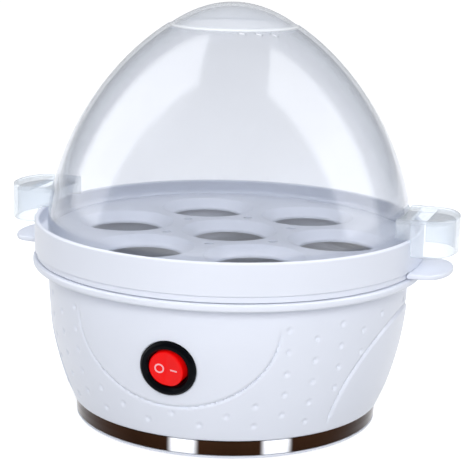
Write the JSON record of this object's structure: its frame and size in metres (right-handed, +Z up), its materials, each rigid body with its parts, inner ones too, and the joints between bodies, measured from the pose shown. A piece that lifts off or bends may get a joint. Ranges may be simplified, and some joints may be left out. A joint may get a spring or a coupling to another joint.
{
  "type": "egg cooker",
  "caption": "Round electric egg cooker: tapered base with a rocker switch and water pan, a lift-out rack with egg seats, and a clear domed lid with two ears.",
  "frame": {"origin": "middle of the footprint on the table, under the centre of the base", "axes": "+Z up; -Y is the front, with the switch; the ears of the lid and the tabs of the rack point along +X and -X"},
  "size_m": [0.197, 0.1664, 0.1767],
  "materials": {
    "white_plastic": "cool white, semi-gloss moulded plastic",
    "inner_plastic": "plain white-grey moulded plastic",
    "clear_plastic": "clear moulded plastic with a faint blue-grey tint",
    "polished_steel": "polished stainless band",
    "pan_steel": "satin stainless dish",
    "zinc_steel": "zinc-plated fastener steel",
    "cast_aluminium": "cast heater aluminium",
    "element_steel": "dull grey heater tube",
    "black_plastic": "glossy black moulded plastic",
    "red_plastic": "translucent red rocker plastic",
    "brass": "bright stamped brass",
    "rubber": "black rubber",
    "silicone": "off-white silicone seal",
    "bakelite": "dark phenolic body",
    "block_plastic": "ivory terminal block plastic",
    "amber_glass": "neon lamp glass",
    "white_sleeve": "white glass-fibre sleeve",
    "blue_sleeve": "blue wire insulation",
    "brown_sleeve": "brown wire insulation",
    "green_sleeve": "green earth-wire insulation"
  },
  "bodies": {
    "base": {"housing": "white_plastic", "trim_ring": "polished_steel", "bottom_cover": "inner_plastic", "foot_1": "rubber", "foot_2": "rubber", "foot_3": "rubber", "foot_4": "rubber", "bottom_screw_1": "zinc_steel", "bottom_screw_2": "zinc_steel", "bottom_screw_3": "zinc_steel", "bottom_screw_4": "zinc_steel", "cord_gland": "black_plastic", "water_pan": "pan_steel", "pan_seal": "silicone", "heater_plate": "cast_aluminium", "heating_element": "element_steel", "element_pin_1": "zinc_steel", "element_pin_2": "zinc_steel", "thermostat": "bakelite", "thermostat_strap": "zinc_steel", "thermostat_screw_1": "zinc_steel", "thermostat_terminal_1": "brass", "thermostat_screw_2": "zinc_steel", "thermostat_terminal_2": "brass", "thermal_fuse": "element_steel", "fuse_clip": "cast_aluminium", "fuse_screw": "zinc_steel", "pan_stud": "zinc_steel", "clamp_bridge": "zinc_steel", "earth_tab": "brass", "bridge_nut": "zinc_steel", "bridge_screw_1": "zinc_steel", "bridge_screw_2": "zinc_steel", "terminal_block": "block_plastic", "clamp_screw_1": "brass", "clamp_screw_2": "brass", "clamp_screw_3": "brass", "switch_body": "black_plastic", "switch_terminal_1": "brass", "switch_terminal_2": "brass", "switch_terminal_3": "brass", "rocker_pin": "zinc_steel", "lead_live": "brown_sleeve", "lead_lamp": "blue_sleeve", "lead_switched": "brown_sleeve", "lead_thermostat": "white_sleeve", "lead_fuse": "white_sleeve", "lead_neutral": "blue_sleeve", "lead_earth": "green_sleeve"},
    "rack": {"egg_rack": "white_plastic"},
    "lid": {"lid_dome": "clear_plastic", "lid_ear_right": "clear_plastic", "lid_ear_left": "clear_plastic"},
    "rocker": {"switch_rocker": "red_plastic", "indicator_lamp": "amber_glass", "plunger": "brass", "plunger_spring": "zinc_steel"},
    "contact_lever": {"contact_lever": "brass"}
  },
  "joints": [
    {"name": "rack_lift", "type": "slide", "parent": "base", "child": "rack", "axis": [0, 0, 1], "range_m": [0, 0.12]},
    {"name": "lid_lift", "type": "slide", "parent": "rack", "child": "lid", "axis": [0, 0, 1], "range_m": [0, 0.15]},
    {"name": "rocker_tilt", "type": "hinge", "parent": "base", "child": "rocker", "pos_m": [0, -0.07242, 0.04091], "axis": [0, -0.1591, 0.9873], "range_deg": [0, 15]},
    {"name": "lever_tilt", "type": "hinge", "parent": "base", "child": "contact_lever", "pos_m": [0, -0.06216, 0.04257], "axis": [0, -0.1591, 0.9873], "range_deg": [-9, 0]}
  ],
  "couplings": [
    {"joint": "lever_tilt", "follows": "rocker_tilt", "ratio": -0.6}
  ]
}
